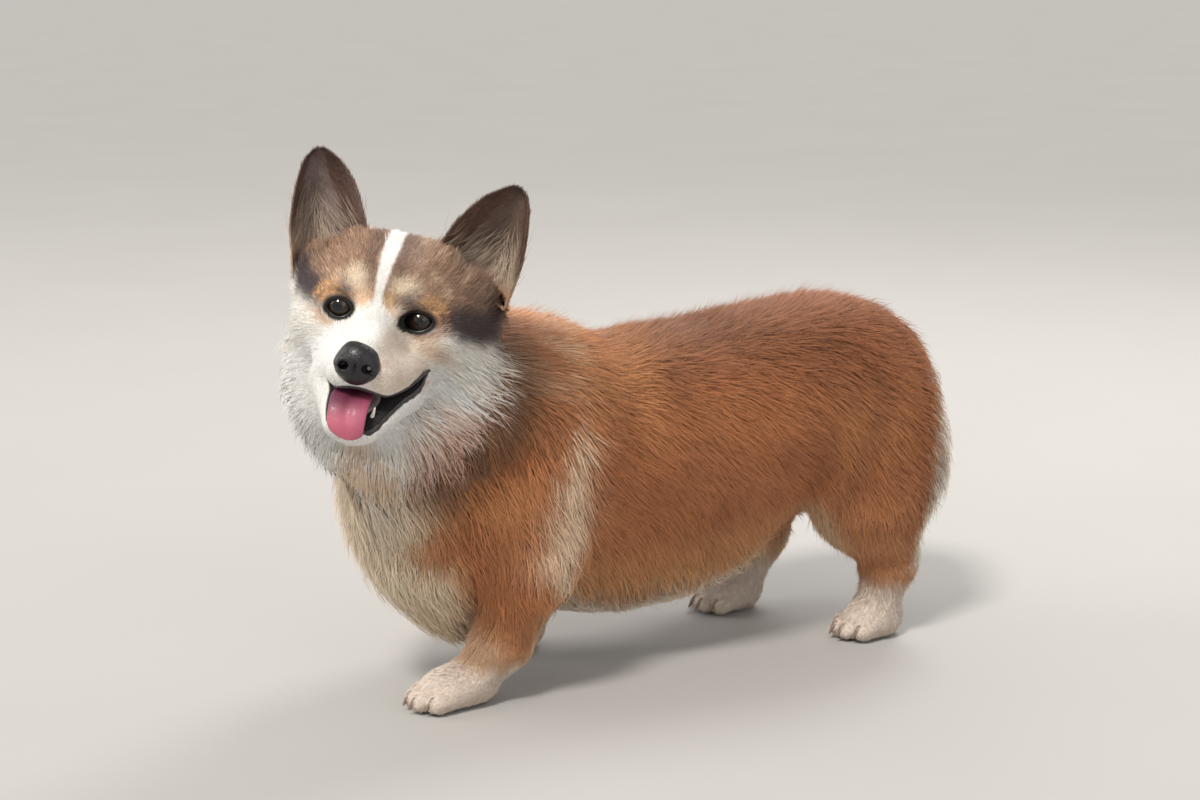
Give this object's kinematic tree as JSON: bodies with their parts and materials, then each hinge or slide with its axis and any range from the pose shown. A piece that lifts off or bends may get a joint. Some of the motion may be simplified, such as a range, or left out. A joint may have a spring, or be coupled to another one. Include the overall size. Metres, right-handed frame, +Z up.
{
  "type": "pembroke welsh corgi",
  "caption": "Life-size pembroke welsh corgi standing on all fours, long low body, short legs, upright ears, head turned to its left, mouth open with the tongue out",
  "frame": {"origin": "centre of the bounding box in X and Y, on the floor plane under the paws in Z", "axes": "+Z up, the dog faces -Y, its left side is at +X; the body is longest along Y"},
  "size_m": [0.2596, 0.6108, 0.4368],
  "materials": {
    "coat_red": "dense short coat, matt",
    "coat_cream": "dense coat, matt",
    "coat_sable": "dense short coat, matt",
    "ear": "thin leather with short hair",
    "eye": "wet gloss",
    "nose": "moist, pebbled",
    "tongue": "moist",
    "claw": "horn"
  },
  "bodies": {
    "root": {"barrel": "coat_red", "chest": "coat_red", "claw_fore_left_1": "claw", "claw_fore_left_2": "claw", "claw_fore_left_3": "claw", "claw_fore_left_4": "claw", "claw_fore_right_1": "claw", "claw_fore_right_2": "claw", "claw_fore_right_3": "claw", "claw_fore_right_4": "claw", "claw_hind_left_1": "claw", "claw_hind_left_2": "claw", "claw_hind_left_3": "claw", "claw_hind_left_4": "claw", "claw_hind_right_1": "claw", "claw_hind_right_2": "claw", "claw_hind_right_3": "claw", "claw_hind_right_4": "claw", "ear_left": "ear", "ear_right": "ear", "eye_left": "eye", "eye_right": "eye", "foreleg_left": "coat_red", "foreleg_right": "coat_red", "forepaw_left": "coat_cream", "forepaw_right": "coat_cream", "head": "coat_sable", "hindleg_left": "coat_red", "hindleg_right": "coat_red", "hindpaw_left": "coat_cream", "hindpaw_right": "coat_cream", "hindquarters": "coat_red", "lower_jaw": "coat_cream", "neck": "coat_red", "nose": "nose", "tail": "coat_red", "tongue": "tongue"}
  },
  "joints": []
}
